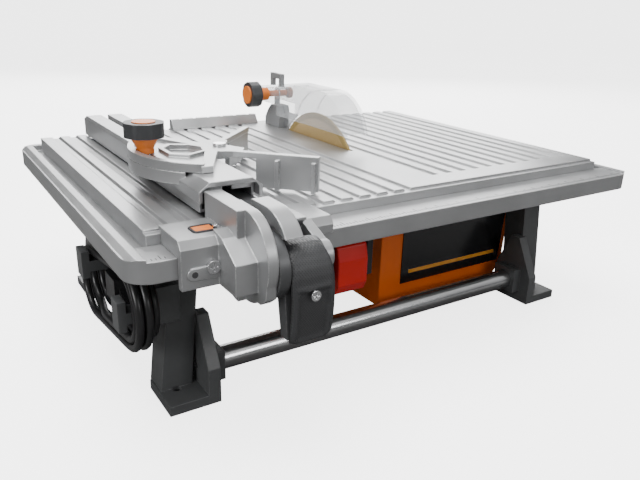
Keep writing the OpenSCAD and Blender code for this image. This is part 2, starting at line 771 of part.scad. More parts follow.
// Saddle over the bar, with the lobe under the protractor plate
module mitre_base() {
    x0 = bar_x - bar_w / 2 - gap;
    x1 = bar_x + bar_w / 2 + gap;
    front = -half_d + 43;
    back = -mitre_y + 40;
    lobe_z = bar_top - 6;
    color(silver) difference() {
        union() {
            along(front, back) polygon([[x0 - saddle_t, bar_z + 10], [x0 - saddle_t, bar_top - 2.5],
                [x0 + 6, saddle_top], [x1 - 6, saddle_top], [x1 + saddle_t, bar_top - 2.5],
                [x1 + saddle_t, bar_z + 10]]);
            translate([pivot_x, -mitre_y, lobe_z]) linear_extrude(saddle_top - lobe_z)
                lobe(arc_r, 122, x0 - pivot_x + 1);
            translate([pivot_x, -mitre_y, saddle_z]) cylinder(h = saddle_top - saddle_z, r = 12);
            span([x1 - 6, -mitre_y - 12, saddle_z], [pivot_x, -mitre_y + 12, saddle_top]);
        }
        along(front - 1, back + 60) bar_outline(gap);
        span([x1 - 1, -mitre_y - 70, 0], [pivot_x + 60, back + 1, saddle_z]);
        translate([pivot_x, -mitre_y, lobe_z - 1]) linear_extrude(saddle_top - lobe_z - 2)
            lobe(arc_r - 3, 126, x0 - pivot_x - saddle_t);
        translate([pivot_x, -mitre_y, 0]) cylinder(h = 400, r = 4 + fit);
        translate([knob_x, knob_y, 0]) cylinder(h = 400, r = 3 + fit);
    }
}

module wing(out) {
    z0 = deck_z + 2.5;
    span([40, -out, z0], [wing_l, -out + wing_t, wing_top]);
    span([6, -out, plate_z], [wing_l, -out + wing_t + 1, wing_top]);
    for (x = [wing_l * 0.6, wing_l - 6])
        span([x, -out - 2.5, z0 - 1.5], [x + 3.5, -out + wing_t, plate_z]);
}

module window_outline(k) {
    translate([-33, 0]) polygon(k * [[-19, -12], [-19, 14], [-7, 27], [11, 19], [20, 4],
        [15, -14], [-5, -24]]);
}

// Raised middle of the protractor plate, from its outer corners to the wings
module hub_outline() {
    for (side = [0, 1]) mirror([0, side]) polygon([[-46, -68], [-36, -68], [-11, -20],
        [8, -30], [16, -18], [6, 0], [-14, 0], [-20, -14]]);
    window_outline(1);
}

// Protractor plate with its arc slot and window, and the two wings of the V
module mitre_head() {
    color(silver) translate([pivot_x, -mitre_y, 0]) difference() {
        union() {
            translate([0, 0, plate_z]) linear_extrude(plate_t) {
                lobe(arc_r, 122, 0);
                circle(16);
            }
            translate([0, 0, plate_z]) linear_extrude(rim_top - plate_z) difference() {
                lobe(arc_r, 122, 0);
                circle(arc_r - 6, $fn = 120);
            }
            translate([0, 0, plate_z]) linear_extrude(wing_top - plate_z) hub_outline();
            rotate(-45) wing(wing_out);
            mirror([0, 1, 0]) rotate(-45) wing(wing_out - 8);
        }
        translate([0, 0, plate_z - 1]) linear_extrude(plate_t + 8) intersection() {
            difference() {
                circle(slot_r + 3.5, $fn = 120);
                circle(slot_r - 3.5, $fn = 120);
            }
            fan(arc_r, knob_turn - 38, knob_turn + 38);
        }
        translate([0, 0, plate_z + 0.8]) linear_extrude(10) window_outline(0.8);
        translate([0, 0, plate_z - 1]) cylinder(h = 20, r = 4 + fit);
    }
}

module mitre_pivot() {
    shank = wing_top + 0.2 - saddle_z;
    color(steel) translate([pivot_x, -mitre_y, saddle_z]) {
        translate([0, 0, -2]) cylinder(h = 2, r = 5.4);
        translate([0, 0, -0.1]) cylinder(h = shank + 0.1, r = 4);
        translate([0, 0, shank]) cylinder(h = 2.2, r = 6);
    }
}

module mitre_knob() {
    color(dark) translate([knob_x, knob_y, plate_top + 14.3])
        octagon_grip(mitre_knob_d / 2, 12.5);
}
module mitre_knob_core() {
    color(orange) translate([knob_x, knob_y, 0]) {
        // clear of the arc's raised rim, then flaring out under the knob
        translate([0, 0, plate_top + 0.5]) cylinder(h = rim_top - plate_top + 0.5, r = 7.6);
        translate([0, 0, rim_top + 0.5]) cylinder(h = 13.8 - rim_top + plate_top, r1 = 7.6, r2 = 12.5);
        translate([0, 0, saddle_top - 6]) cylinder(h = plate_top - saddle_top + 7, r = 3);
        translate([0, 0, saddle_top - 7.2]) cylinder(h = 4, r = 4.6);
        translate([0, 0, plate_top + 26.8]) cylinder(h = 0.8, r = 10);
    }
}

// Arm through the wound lead, with an upturned lip outside it
module hook(y0, y1, z0, z1) {
    span([hook_x, y0, z0], [-foot_x - 12, y1, z1]);
    span([hook_x, y0, z0 - 6], [wind_x0 - 1, y1, z1 + 10]);
}
module cord_hook_front() {
    color(dark) difference() {
        union() {
            hook(-143, -127, 86, 96);
            span([-foot_x - 17, -143, 80], [-foot_x + 3, -106, 112]);
        }
        leg();
    }
}
module cord_hook_rear() {
    color(dark) {
        hook(-35, -16, 91, 101);
        span([-foot_x - 16.5, -35, 91], [-foot_x - 12, -16, floor_z - floor_t]);
    }
}

module cord_clips() {
    color(black) for (p = [lead_path[4], lead_path[8]])
        span([p[0] - 4, p[1] - 6, p[2] + cord_r + 0.8], [p[0] + 4, p[1] + 6, floor_z - floor_t]);
}

module cord_gland() {
    y = lead_path[0][1];
    z = lead_path[0][2];
    color(black) {
        ring_x(tank_x0 - 4, tank_x0, y, z, 9, cord_r);
        ring_x(tank_x0 - 1, tank_x0 + 4, y, z, 5.5, cord_r);
        translate([tank_x0 - 30, y, z]) rotate([0, 90, 0]) difference() {
            cylinder(h = 27, r1 = 4.8, r2 = 7);
            translate([0, 0, -1]) cylinder(h = 29, r = cord_r);
        }
    }
}

// Tube swept through the route's points, one ring at each point
function unit(v) = v / norm(v);
function heading(p, i) = unit(p[min(i + 1, len(p) - 1)] - p[max(i - 1, 0)]);
function ring_at(p, i, r, n) = let (d = heading(p, i), s = unit(cross(d, [0, 0, 1])), u = cross(s, d))
    [for (k = [0:n - 1]) p[i] + r * (cos(360 * k / n) * s + sin(360 * k / n) * u)];
module tube(p, r, n = 10) {
    m = len(p);
    polyhedron(points = [for (i = [0:m - 1], q = ring_at(p, i, r, n)) q],
        faces = concat([[for (k = [n - 1:-1:0]) k]],
            [for (i = [0:m - 2], k = [0:n - 1]) [i * n + k, i * n + (k + 1) % n,
                (i + 1) * n + (k + 1) % n, (i + 1) * n + k]],
            [[for (k = [0:n - 1]) (m - 1) * n + k]]));
}

module cord_lead() {
    color(black) tube(lead_path, cord_r);
}

// Long loop through the two ends of the winding
module racetrack(r) {
    hull() for (p = [wind_front, wind_back]) translate(p) circle(r, $fn = 64);
}

module cord_winding() {
    color(black) across(wind_x0, wind_x0 + wind_w) difference() {
        racetrack(wind_r);
        racetrack(wind_r - wind_t);
    }
}

module plug() {
    x = wind_x0 + wind_w - 3.7;
    color(black) {
        span([x - 9, -72, 70], [x + 9, -44, 94]);
        across(x - 5, x + 5) polygon([[-71, 74], [-71, 86], [-98, 70], [-92, 61]]);
    }
    color(steel) for (z = [76, 87]) span([x - 3.2, -44.5, z], [x + 3.2, -26, z + 1.5]);
}

table_tray();
deck_panel();
splash_lip();
leg_front_left();
leg_front_right();
leg_rear_left();
leg_rear_right();
rail_front();
rail_rear();
leg_screws();
water_tank();
label_plate();
drain_plug();
tank_screws();
motor_casing();
motor_stator();
motor_rotor();
arbor_shaft();
bearing_blade_side();
bearing_far_side();
cooling_fan();
flange_inner();
flange_outer();
arbor_nut();
blade();
riving_knife();
guard_bracket();
guard_shell();
guard_hanger();
guard_knob();
guard_knob_core();
switch_box();
switch_button();
switch_paddle();
switch_pin();
fence_bar();
fence_head();
fence_pads();
fence_tongue();
fence_pointer();
fence_screws();
lever_pin();
lever_handle();
lever_grip();
lever_screw();
mitre_base();
mitre_head();
mitre_pivot();
mitre_knob();
mitre_knob_core();
cord_hook_front();
cord_hook_rear();
cord_clips();
cord_gland();
cord_lead();
cord_winding();
plug();
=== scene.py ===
"""Tabletop wet saw: finishes, fine pieces, lead, floor, lights and camera.

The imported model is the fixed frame. Its nodes keep their shapes and are given
finishes here; fine pieces, the grip and the mains lead are built as surfaces.
Sizes in the classes are millimetres; meshes are written in metres.
"""
import logging
import math
from dataclasses import dataclass
from enum import Enum
from typing import Dict, List, Mapping, Optional, Sequence, Tuple, Union

import bpy
import numpy as np
from mathutils import Matrix, Vector


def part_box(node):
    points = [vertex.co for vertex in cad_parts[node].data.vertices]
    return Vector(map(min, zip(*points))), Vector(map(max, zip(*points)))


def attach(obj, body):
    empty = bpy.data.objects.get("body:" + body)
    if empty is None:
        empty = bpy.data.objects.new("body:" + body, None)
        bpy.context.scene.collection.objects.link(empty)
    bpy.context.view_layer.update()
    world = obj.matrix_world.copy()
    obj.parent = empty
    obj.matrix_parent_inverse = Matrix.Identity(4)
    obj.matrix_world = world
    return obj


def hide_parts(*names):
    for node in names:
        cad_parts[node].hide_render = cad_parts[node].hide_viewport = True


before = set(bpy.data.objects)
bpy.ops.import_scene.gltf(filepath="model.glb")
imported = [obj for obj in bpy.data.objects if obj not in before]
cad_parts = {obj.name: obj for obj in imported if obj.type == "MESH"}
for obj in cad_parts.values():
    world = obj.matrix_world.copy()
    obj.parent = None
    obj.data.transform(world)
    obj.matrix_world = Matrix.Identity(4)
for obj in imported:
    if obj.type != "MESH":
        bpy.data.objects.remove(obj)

LOG = logging.getLogger("wet_saw")
MM = 0.001
SMOOTH = 40.0  # degrees: faces that meet at less look smooth
Colour = Tuple[float, float, float]
Number = Union[float, "Value"]


class Body(Enum):
    """Bodies that the added pieces ride on."""

    FRAME = "frame"
    SPINDLE = "spindle"
    LEVER = "clamp_lever"
    FENCE = "fence"


# ---------------------------------------------------------------- shaders


class Value:
    """A number in a shader, with the sums that can be done on it."""

    def __init__(self, graph: "Graph", socket: bpy.types.NodeSocket) -> None:
        """Wrap a socket of a graph."""
        self.graph = graph
        self.socket = socket

    def _sum(self, operation: str, first: Number, second: Number = 0.0) -> "Value":
        """Add a Math node.

        Args:
            operation: the Math node's operation.
            first: its first number.
            second: its second number.

        Returns:
            The node's result.
        """
        node = self.graph.node("ShaderNodeMath", {"operation": operation}, {0: first, 1: second})
        return Value(self.graph, node.outputs[0])

    def __add__(self, other: Number) -> "Value":
        """Return self + other."""
        return self._sum("ADD", self, other)

    def __radd__(self, other: Number) -> "Value":
        """Return other + self."""
        return self._sum("ADD", other, self)

    def __sub__(self, other: Number) -> "Value":
        """Return self - other."""
        return self._sum("SUBTRACT", self, other)

    def __rsub__(self, other: Number) -> "Value":
        """Return other - self."""
        return self._sum("SUBTRACT", other, self)

    def __mul__(self, other: Number) -> "Value":
        """Return self * other."""
        return self._sum("MULTIPLY", self, other)

    def __rmul__(self, other: Number) -> "Value":
        """Return other * self."""
        return self._sum("MULTIPLY", other, self)

    def __truediv__(self, other: Number) -> "Value":
        """Return self / other."""
        return self._sum("DIVIDE", self, other)

    def __rtruediv__(self, other: Number) -> "Value":
        """Return other / self."""
        return self._sum("DIVIDE", other, self)

    def __pow__(self, other: Number) -> "Value":
        """Return self to the power other."""
        return self._sum("POWER", self, other)

    def wave(self) -> "Value":
        """Return the sine of self."""
        return self._sum("SINE", self)

    def larger(self, other: Number) -> "Value":
        """Return the larger of self and other."""
        return self._sum("MAXIMUM", self, other)

    def span(self, low: float, high: float) -> "Value":
        """Return 0 below low, 1 above high and a straight line between."""
        node = self.graph.node(
            "ShaderNodeMapRange", {"clamp": True}, {0: self, 1: low, 2: high, 3: 0.0, 4: 1.0}
        )
        return Value(self.graph, node.outputs[0])


class Nodes:
    """An emptied node tree, of a material or of the world."""

    def __init__(self, owner: Union[bpy.types.Material, bpy.types.World]) -> None:
        """Empty the owner's node tree."""
        owner.use_nodes = True
        self.tree = owner.node_tree
        self.tree.nodes.clear()

    def node(
        self, kind: str, settings: Mapping[str, object], values: Mapping[Union[int, str], object]
    ) -> bpy.types.Node:
        """Make any node.

        Args:
            kind: the node's type.
            settings: its settings, set first; "stops" are a colour ramp's stops.
            values: a number, colour, socket or Value for each of its sockets.

        Returns:
            The node.
        """
        node = self.tree.nodes.new(kind)
        for name, setting in settings.items():
            if name == "stops":
                ramp = node.color_ramp.elements
                while len(ramp) < len(setting):
                    ramp.new(0.5)
                for element, (place, colour) in zip(ramp, setting):
                    element.position = place
                    element.color = (*colour, 1.0)
            else:
                setattr(node, name, setting)
        for name, value in values.items():
            socket = node.inputs[name]
            if isinstance(value, Value):
                self.tree.links.new(value.socket, socket)
            elif isinstance(value, bpy.types.NodeSocket):
                self.tree.links.new(value, socket)
            else:
                socket.default_value = value
        return node


class Graph(Nodes):
    """A material's node graph."""

    def __init__(self, name: str) -> None:
        """Start a material with a Principled shader and its output."""
        self.material = bpy.data.materials.new(name)
        super().__init__(self.material)
        self.shader = self.node("ShaderNodeBsdfPrincipled", {}, {})
        self.output = self.node("ShaderNodeOutputMaterial", {}, {0: self.shader.outputs[0]})

    def place(self, turn: Tuple[float, float, float] = (0, 0, 0),
              scale: Tuple[float, float, float] = (1, 1, 1),
              shift: Tuple[float, float, float] = (0, 0, 0)) -> bpy.types.NodeSocket:
        """Return Object coordinates, turned, scaled and shifted."""
        source = self.node("ShaderNodeTexCoord", {}, {})
        mapping = self.node(
            "ShaderNodeMapping", {},
            {"Vector": source.outputs["Object"], "Rotation": turn, "Scale": scale,
             "Location": shift},
        )
        return mapping.outputs[0]

    def axes(self, vector: bpy.types.NodeSocket) -> Tuple["Value", "Value", "Value"]:
        """Return a vector's three parts."""
        node = self.node("ShaderNodeSeparateXYZ", {}, {0: vector})
        return tuple(Value(self, node.outputs[i]) for i in range(3))

    def noise(self, vector: bpy.types.NodeSocket, scale: float, detail: float = 2.0,
              rough: float = 0.5) -> "Value":
        """Return a noise from about 0.25 to 0.75 with that many cells to the metre."""
        node = self.node("ShaderNodeTexNoise", {}, {
            "Vector": vector, "Scale": scale, "Detail": detail, "Roughness": rough})
        return Value(self, node.outputs["Fac"])

    def mix(self, share: Number, first: object, second: object) -> bpy.types.NodeSocket:
        """Return the first colour where share is 0 and the second where it is 1."""
        node = self.node("ShaderNodeMix", {"data_type": "RGBA"}, {0: share, 6: first, 7: second})
        return node.outputs[2]

    def edges(self, radius: float) -> Tuple[bpy.types.NodeSocket, "Value"]:
        """Round the edges in the shading.

        Args:
            radius: how far an edge is rounded, in metres.

        Returns:
            The rounded normal, and a mask that is 1 along the edges.
        """
        rounded = self.node("ShaderNodeBevel", {"samples": 6}, {"Radius": radius})
        flat = self.node("ShaderNodeNewGeometry", {}, {})
        alike = self.node("ShaderNodeVectorMath", {"operation": "DOT_PRODUCT"},
                          {0: rounded.outputs[0], 1: flat.outputs["True Normal"]})
        mask = Value(self, alike.outputs["Value"])
        return rounded.outputs[0], (1.0 - mask).span(0.01, 0.16)

    def bump(self, height: "Value", depth: float, normal: Optional[bpy.types.NodeSocket] = None,
             ) -> None:
        """Send a height, at most depth metres deep, to the shader's Normal."""
        values: Dict[Union[int, str], object] = {
            "Strength": 1.0, "Distance": depth, "Height": height}
        if normal is not None:
            values["Normal"] = normal
        node = self.node("ShaderNodeBump", {}, values)
        self.tree.links.new(node.outputs[0], self.shader.inputs["Normal"])

    def feed(self, name: str, value: object) -> None:
        """Set or link one of the shader's sockets."""
        socket = self.shader.inputs[name]
        if isinstance(value, Value):
            self.tree.links.new(value.socket, socket)
        elif isinstance(value, bpy.types.NodeSocket):
            self.tree.links.new(value, socket)
        else:
            socket.default_value = value


def tone(colour: Colour, factor: float) -> Tuple[float, float, float, float]:
    """Return a colour made lighter or darker, with an alpha of 1."""
    return (*[min(1.0, c * factor) for c in colour], 1.0)


@dataclass(frozen=True)
class Finish:
    """A moulded or painted surface with fine grain, soft mottling, and edges lightened partly by
    wear and partly as painted edge highlights.
    """

    name: str
    colour: Colour
    roughness: float = 0.45
    metallic: float = 0.0
    grain: float = 2500.0
    depth: float = 0.00003
    mottle: float = 0.1
    edge: float = 0.0008
    # Share and colour that the edges are mixed towards: wear on some finishes, a painted edge
    # highlight where the colour is near white
    edge_wear_and_highlight: float = 0.25
    coat: float = 0.0
    edge_wear_and_highlight_colour: Colour = (0.55, 0.56, 0.57)

    def build(self) -> bpy.types.Material:
        """Make the material."""
        graph = Graph(self.name)
        place = graph.place()
        rounded, edge = graph.edges(self.edge)
        clouds = graph.noise(place, 28.0, 3.0).span(0.3, 0.7)
        grain = self.relief(graph, place)
        colour = graph.mix(clouds, tone(self.colour, 1 - self.mottle),
                           tone(self.colour, 1 + self.mottle))
        edge_breakup = graph.noise(place, 420.0, 3.0, 0.6).span(0.35, 0.62)
        # Edges mixed towards the edge colour, broken up by noise: partly wear, partly painted edge
        # highlights
        graph.feed("Base Color", graph.mix(edge * edge_breakup * self.edge_wear_and_highlight, colour, (*self.edge_wear_and_highlight_colour, 1.0)))
        graph.feed("Roughness", self.roughness + (clouds - 0.5) * 0.08 + (grain - 0.5) * 0.06)
        graph.feed("Metallic", self.metallic)
        graph.feed("Coat Weight", self.coat)
        graph.shader.inputs["Coat Roughness"].default_value = 0.15
        self.extra(graph, place)
        graph.bump(grain, self.depth, rounded)
        return graph.material

    def relief(self, graph: Graph, place: bpy.types.NodeSocket) -> "Value":
        """Return the surface's fine height, from 0 to 1."""
        return graph.noise(place, self.grain, 2.0)

    def extra(self, graph: Graph, place: bpy.types.NodeSocket) -> None:
        """Leave room for what only some finishes have."""


@dataclass(frozen=True)
class BrushedMetal(Finish):
    """Metal with fine streaks along one axis: noise on coordinates squeezed along it."""

    streak: Tuple[float, float, float] = (1.0, 0.03, 1.0)
    streaks: float = 900.0

    def relief(self, graph: Graph, place: bpy.types.NodeSocket) -> "Value":
        """Return streaks mixed with a finer grain."""
        lines = graph.noise(graph.place(scale=self.streak), self.streaks, 3.0)
        return lines * 0.6 + graph.noise(place, self.grain, 2.0) * 0.4


@dataclass(frozen=True)
class HatchedRubber(Finish):
    """Soft moulding with a raised diagonal hatch: two sine waves that cross."""

    pitch: float = 0.0017

    def relief(self, graph: Graph, place: bpy.types.NodeSocket) -> "Value":
        """Return the crossed waves with a fine grain on them."""
        x, _, z = graph.axes(place)
        turn = 2 * math.pi / self.pitch
        one = ((x * 0.82 + z * 0.57) * turn).wave()
        two = ((x * 0.57 - z * 0.82) * turn).wave()
        return (one.larger(two) * 0.5 + 0.5) * 0.85 + graph.noise(place, self.grain, 2.0) * 0.15


@dataclass(frozen=True)
class ClearPlastic(Finish):
    """Clear moulding: faint face on, whiter where it is seen edge on."""

    face: float = 0.13
    rim: float = 0.6

    def extra(self, graph: Graph, place: bpy.types.NodeSocket) -> None:
        """Drive the alpha by how edge on the surface is."""
        facing = graph.node("ShaderNodeLayerWeight", {}, {"Blend": 0.35})
        graph.feed("Alpha", Value(graph, facing.outputs["Facing"]) * (self.rim - self.face)
                   + self.face)


@dataclass(frozen=True)
class TurnedDisc(Finish):
    """Disc with a gritty rim round the X axis, set apart by the distance from the axis."""

    centre: Tuple[float, float] = (0.0, 0.0)
    rim_from: float = 0.08
    rim_colour: Colour = (0.5, 0.36, 0.14)

    def extra(self, graph: Graph, place: bpy.types.NodeSocket) -> None:
        """Colour the gritty rim."""
        _, y, z = graph.axes(place)
        across = ((y - self.centre[0]) ** 2.0 + (z - self.centre[1]) ** 2.0) ** 0.5
        rim = across.span(self.rim_from, self.rim_from + 0.001)
        grit = graph.noise(place, 3200.0, 2.0).span(0.35, 0.65)
        body = graph.mix(grit, tone(self.colour, 0.92), tone(self.colour, 1.08))
        gritty = graph.mix(grit, tone(self.rim_colour, 0.6), tone(self.rim_colour, 1.35))
        graph.feed("Base Color", graph.mix(rim, body, gritty))
        graph.feed("Roughness", 0.3 + rim * 0.35 + (grit - 0.5) * 0.1)


@dataclass(frozen=True)
class Paint:
    """Every finish on the saw."""

    # Castings: edges mixed strongly towards near white, a painted edge highlight
    casting: Finish = BrushedMetal("casting", (0.50, 0.505, 0.51), 0.36, 0.8, depth=0.000016,
                                   mottle=0.06, edge=0.0013, edge_wear_and_highlight=0.8, edge_wear_and_highlight_colour=(0.95, 0.95, 0.95))
    apron: Finish = BrushedMetal("casting_smooth", (0.46, 0.465, 0.47), 0.4, 0.75,
                                 streak=(0.05, 1.0, 1.0), depth=0.000016, mottle=0.06,
                                 edge=0.0014, edge_wear_and_highlight=0.8, edge_wear_and_highlight_colour=(0.95, 0.95, 0.95))
    legs: Finish = Finish("leg_paint", (0.095, 0.098, 0.10), 0.42, 0.0, 1400, 0.00004, 0.12,
                          0.0012, 0.12)
    tube: Finish = BrushedMetal("steel_tube", (0.72, 0.725, 0.73), 0.22, 1.0,
                                streak=(0.02, 1.0, 1.0), depth=0.000006, mottle=0.03, edge_wear_and_highlight=0.1)
    plated: Finish = BrushedMetal("plated_steel", (0.82, 0.82, 0.83), 0.16, 1.0, depth=0.000005,
                                  mottle=0.03, edge=0.0009, edge_wear_and_highlight=0.1)
    tank: Finish = Finish("tank_orange", (0.86, 0.15, 0.006), 0.36, 0.0, 1700, 0.00002, 0.05,
                          0.0018, 0.05, coat=0.15, edge_wear_and_highlight_colour=(0.95, 0.5, 0.25))
    label: Finish = Finish("label_film", (0.010, 0.010, 0.011), 0.22, 0.0, 900, 0.000006, 0.1,
                           0.0003, 0.02, coat=0.4)
    gold_line: Finish = Finish("label_line", (0.80, 0.33, 0.04), 0.3, 0.1, 900, 0.000005, 0.05,
                               0.0003, 0.02)
    copper: Finish = Finish("copper_winding", (0.55, 0.22, 0.1), 0.35, 1.0)
    blade: Finish = TurnedDisc("blade_disc", (0.66, 0.46, 0.2), 0.4, 0.45, depth=0.000008,
                               mottle=0.05, edge=0.0004, edge_wear_and_highlight=0.1, centre=(0.057, 0.112),
                               rim_from=0.0815)
    grey: Finish = Finish("grey_moulding", (0.25, 0.255, 0.26), 0.42, 0.0, 1700, 0.00003, 0.06,
                          0.001, 0.1)
    clear: Finish = ClearPlastic("guard_clear", (0.58, 0.60, 0.62), 0.06, 0.0, 300, 0.000004,
                                 0.02, 0.0015, 0.0, coat=0.6)
    knob: Finish = Finish("knob_moulding", (0.045, 0.047, 0.05), 0.42, 0.0, 1900, 0.00004, 0.1,
                          0.0012, 0.12)
    knob_orange: Finish = Finish("knob_orange", (0.86, 0.22, 0.03), 0.38, 0.0, 1900, 0.00002,
                                 0.05, 0.0008, 0.05, edge_wear_and_highlight_colour=(0.95, 0.5, 0.25))
    black: Finish = Finish("black_moulding", (0.02, 0.02, 0.021), 0.45, 0.0, 1600, 0.00003, 0.1,
                           0.0008, 0.08)
    grip: Finish = HatchedRubber("grip_hatch", (0.05, 0.051, 0.053), 0.36, 0.0, 2600, 0.00022,
                                 0.1, 0.0012, 0.06)
    # Lever and tongue: colour darkened to near black as painted shade, standing in for the shadow
    # they sit in
    lever: Finish = BrushedMetal("lever_casting_shade_darkened", (0.10, 0.102, 0.105), 0.4, 0.3,
                                 depth=0.00002, mottle=0.06, edge=0.0012, edge_wear_and_highlight=0.3)
    red: Finish = Finish("paddle_red", (0.72, 0.010, 0.004), 0.34, 0.0, 1700, 0.00002, 0.06,
                         0.0025, 0.04, coat=0.2, edge_wear_and_highlight_colour=(0.85, 0.2, 0.15))
    green: Finish = Finish("button_green", (0.03, 0.25, 0.06), 0.4)
    cord: Finish = Finish("cord_rubber", (0.014, 0.014, 0.015), 0.3, 0.0, 2400, 0.00002, 0.1,
                          0.0004, 0.02, coat=0.1)
    # Black for the scale's printed ticks, and as painted shade for the tab's hole
    ink_and_shade: Finish = Finish("print_and_hole_shade", (0.05, 0.05, 0.052), 0.5, 0.0, 1500, 0.000005, 0.1,
                         0.0001, 0.0)


PAINT = Paint()
NODE_FINISH: Dict[str, Finish] = {
    "table_tray": PAINT.apron, "deck_panel": PAINT.casting, "splash_lip": PAINT.casting,
    "leg_front_left": PAINT.legs, "leg_front_right": PAINT.legs, "leg_rear_left": PAINT.legs,
    "leg_rear_right": PAINT.legs, "rail_front": PAINT.tube, "rail_rear": PAINT.tube,
    "leg_screws": PAINT.plated, "water_tank": PAINT.tank, "label_plate": PAINT.label,
    "drain_plug": PAINT.black, "tank_screws": PAINT.plated, "motor_casing": PAINT.legs,
    "motor_stator": PAINT.copper, "motor_rotor": PAINT.copper, "arbor_shaft": PAINT.plated,
    "bearing_blade_side": PAINT.plated, "bearing_far_side": PAINT.plated,
    "cooling_fan": PAINT.black, "flange_inner": PAINT.plated, "flange_outer": PAINT.plated,
    "arbor_nut": PAINT.plated, "blade": PAINT.blade, "riving_knife": PAINT.plated,
    "guard_bracket": PAINT.grey, "guard_shell": PAINT.clear, "guard_hanger": PAINT.grey,
    "guard_knob": PAINT.knob, "guard_knob_core": PAINT.knob_orange, "switch_box": PAINT.black,
    "switch_button": PAINT.green, "switch_paddle": PAINT.red, "switch_pin": PAINT.plated,
    "fence_bar": PAINT.casting, "fence_head": PAINT.apron, "fence_pads": PAINT.black,
    "fence_tongue": PAINT.lever, "fence_pointer": PAINT.knob_orange,
    "fence_screws": PAINT.plated, "lever_pin": PAINT.plated, "lever_handle": PAINT.lever,
    "lever_screw": PAINT.plated, "mitre_base": PAINT.casting, "mitre_head": PAINT.casting,
    "mitre_pivot": PAINT.plated, "mitre_knob": PAINT.knob, "mitre_knob_core": PAINT.knob_orange,
    "cord_hook_front": PAINT.legs, "cord_hook_rear": PAINT.legs, "cord_clips": PAINT.black,
    "cord_gland": PAINT.cord, "plug": PAINT.cord,
}


class Shop:
    """Makes each finish once and hands out its material."""

    def __init__(self) -> None:
        """Start with no materials."""
        self._made: Dict[str, bpy.types.Material] = {}

    def material(self, finish: Finish) -> bpy.types.Material:
        """Return a finish's material, made at its first use."""
        if finish.name not in self._made:
            self._made[finish.name] = finish.build()
        return self._made[finish.name]


SHOP = Shop()


# ---------------------------------------------------------------- surfaces


def grid_faces(rows: int, columns: int, ring: bool) -> np.ndarray:
    """Return the quads of a grid of points, numbered row by row.

    Args:
        rows: points along the path.
        columns: points across it.
        ring: whether the last column joins the first.

    Returns:
        One row of four point numbers for each quad.
    """
    r, c = np.meshgrid(np.arange(rows - 1), np.arange(columns if ring else columns - 1),
                       indexing="ij")
    after = (c + 1) % columns
    quads = np.stack([r * columns + c, r * columns + after, (r + 1) * columns + after,
                      (r + 1) * columns + c], axis=-1)
    return quads.reshape(-1, 4)


def stand(name: str, data: bpy.types.ID) -> bpy.types.Object:
    """Make an object at the origin for a mesh, curve, camera or light."""
    thing = bpy.data.objects.new(name, data)
    bpy.context.collection.objects.link(thing)
    return thing


def node_box(name: str) -> Tuple[np.ndarray, np.ndarray]:
    """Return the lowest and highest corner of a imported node, in millimetres."""
    low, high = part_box(name)
    return np.array(low) / MM, np.array(high) / MM


def piece(name: str, points: np.ndarray, faces: Sequence[Sequence[int]], finish: Finish,
          body: Body, smooth: float = 0.0) -> bpy.types.Object:
    """Make an object at the origin from points in millimetres.

    Args:
        name: the piece's name.
        points: its points, one row each.
        faces: point numbers of each face, counter-clockwise from outside.
        finish: its finish.
        body: the body that it rides on.
        smooth: faces that meet at less than this angle, in degrees, look smooth.

    Returns:
        The object.
    """
    mesh = bpy.data.meshes.new(name)
    mesh.from_pydata((points * MM).tolist(), [], [list(map(int, f)) for f in faces])
    mesh.validate()
    mesh.update()
    thing = stand(name, mesh)
    mesh.materials.append(SHOP.material(finish))
    if smooth:
        mesh.shade_smooth()
        mesh.set_sharp_from_angle(angle=math.radians(smooth))
    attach(thing, body.value)
    LOG.info("%s: %d points", name, len(points))
    return thing


def sweep(rings: np.ndarray) -> Tuple[np.ndarray, List[List[int]]]:
    """Close a stack of rings into a solid.

    Args:
        rings: an array rows x columns x 3, each ring counter-clockwise seen from the next.

    Returns:
        The points and the faces, with a cap at each end.
    """
    rows, columns, _ = rings.shape
    faces = grid_faces(rows, columns, True).tolist()
    faces.append(list(range(columns))[::-1])
    faces.append([(rows - 1) * columns + k for k in range(columns)])
    return rings.reshape(-1, 3), faces


def hoop(rings: np.ndarray) -> Tuple[np.ndarray, List[List[int]]]:
    """Close a stack of rings on itself, its last ring joined to its first.

    Args:
        rings: an array rows x columns x 3.

    Returns:
        The points and the faces.
    """
    rows, columns, _ = rings.shape
    faces = grid_faces(rows, columns, True).tolist()
    last = (rows - 1) * columns
    faces += [[last + k, last + (k + 1) % columns, (k + 1) % columns, k]
              for k in range(columns)]
    return rings.reshape(-1, 3), faces


def cushion_rings(outline: np.ndarray, height: float, edge: float, steps: int = 4) -> np.ndarray:
    """Stack an outline into a slab with a rounded top edge.

    Ring k stands at height - edge + edge sin(t) and is drawn in by edge (1 - cos(t)),
    with t from 0 to a quarter turn; drawing in moves each point towards the middle.

    Args:
        outline: points in the slab's own plane, counter-clockwise.
        height: the slab's height.
        edge: the radius of its top edge.
        steps: rings in the rounded edge.

    Returns:
        An array of rings, with the height as the third number.
    """
    turn = np.linspace(0.0, math.pi / 2, steps + 1)
    inward = np.concatenate([[0.0], edge * (1 - np.cos(turn))])
    up = np.concatenate([[0.0], height - edge + edge * np.sin(turn)])
    middle = outline.mean(axis=0)
    away = outline - middle
    reach = np.linalg.norm(away, axis=1, keepdims=True)
    flat = middle + away[None] * (1 - inward[:, None, None] / reach[None])
    rise = np.broadcast_to(up[:, None, None], (*flat.shape[:2], 1))
    return np.concatenate([flat, rise], axis=2)


